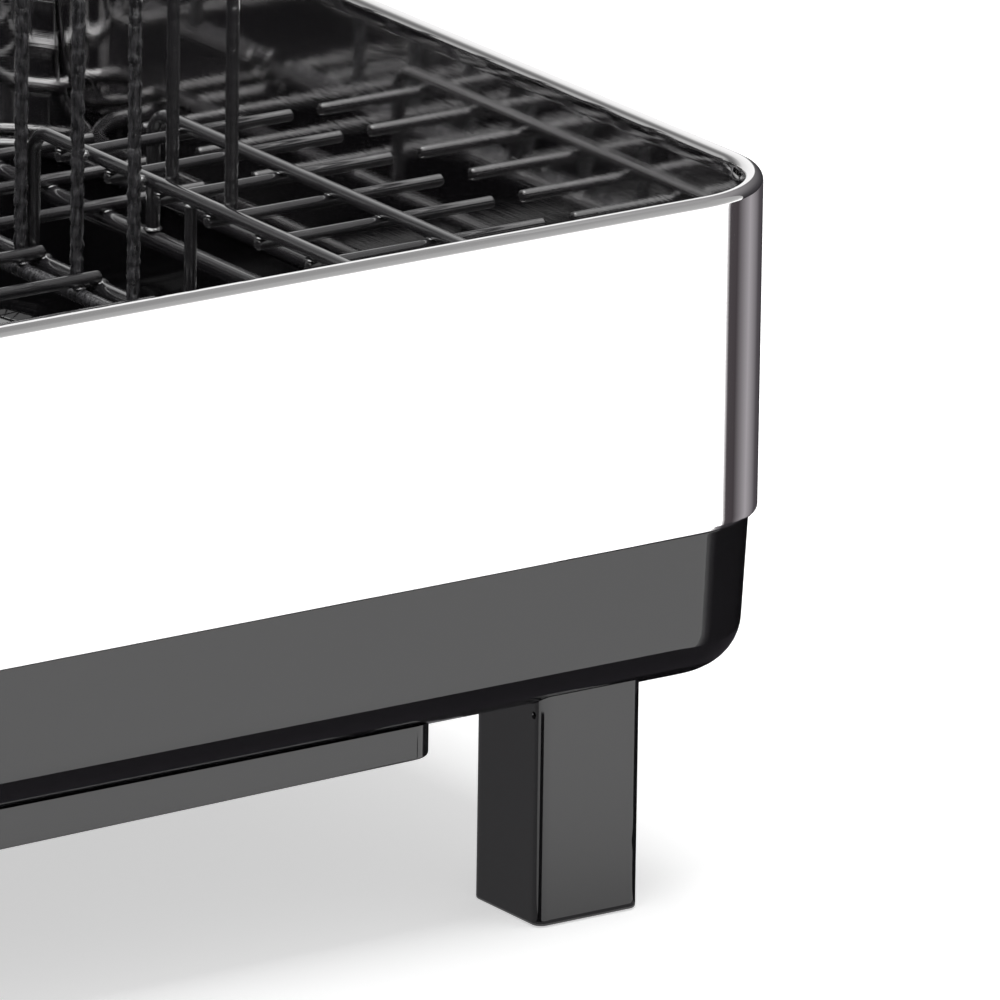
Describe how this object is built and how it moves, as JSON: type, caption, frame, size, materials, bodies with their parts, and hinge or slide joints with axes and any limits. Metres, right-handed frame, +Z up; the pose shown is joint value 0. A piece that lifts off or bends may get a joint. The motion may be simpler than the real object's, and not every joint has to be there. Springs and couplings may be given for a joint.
{
  "type": "dish drainer",
  "caption": "Worktop dish drainer: steel band round a lift-out wire rack with tines and cup shelf, on a legged drip tray with swivel spout and cutlery caddy.",
  "frame": {"origin": "on the surface that the feet stand on, under the middle of the drainer", "axes": "+X towards the cup shelf's end, -X towards the cutlery and spout end, -Y to the front, +Z up"},
  "size_m": [0.49, 0.325, 0.2034],
  "materials": {
    "polished_steel": "polished stainless steel",
    "gloss_plastic": "glossy black moulded plastic",
    "black_rubber": "matt black rubber",
    "screw_steel": "plain stainless screw",
    "coated_wire": "semi-gloss black powder-coated steel wire"
  },
  "bodies": {
    "base": {"steel_band": "polished_steel", "drip_tray": "gloss_plastic", "leg_front_left": "gloss_plastic", "leg_front_right": "gloss_plastic", "leg_back_left": "gloss_plastic", "leg_back_right": "gloss_plastic", "foot_pad_front_left": "black_rubber", "foot_pad_front_right": "black_rubber", "foot_pad_back_left": "black_rubber", "foot_pad_back_right": "black_rubber", "leg_screw_front_left": "screw_steel", "leg_screw_front_right": "screw_steel", "leg_screw_back_left": "screw_steel", "leg_screw_back_right": "screw_steel", "spout_seal": "black_rubber", "spout_pivot_screw": "screw_steel"},
    "rack": {"rack_ring_left": "coated_wire", "rack_ring_right": "coated_wire", "rack_floor": "coated_wire", "tine_row_1": "coated_wire", "tine_row_2": "coated_wire", "tine_row_3": "coated_wire", "tine_row_4": "coated_wire", "shelf_floor": "coated_wire", "peg_hoop": "coated_wire", "cup_shelf": "coated_wire"},
    "caddy": {"cutlery_caddy": "gloss_plastic"},
    "spout": {"swivel_spout": "gloss_plastic"}
  },
  "joints": [
    {"name": "rack_lift", "type": "slide", "parent": "base", "child": "rack", "axis": [0, 0, 1], "range_m": [0, 0.15]},
    {"name": "caddy_lift", "type": "slide", "parent": "rack", "child": "caddy", "axis": [0, 0, 1], "range_m": [0, 0.12]},
    {"name": "spout_swivel", "type": "hinge", "parent": "base", "child": "spout", "pos_m": [-0.199, 0, 0.033], "axis": [0, 0, 1], "range_deg": [0, 180]}
  ]
}
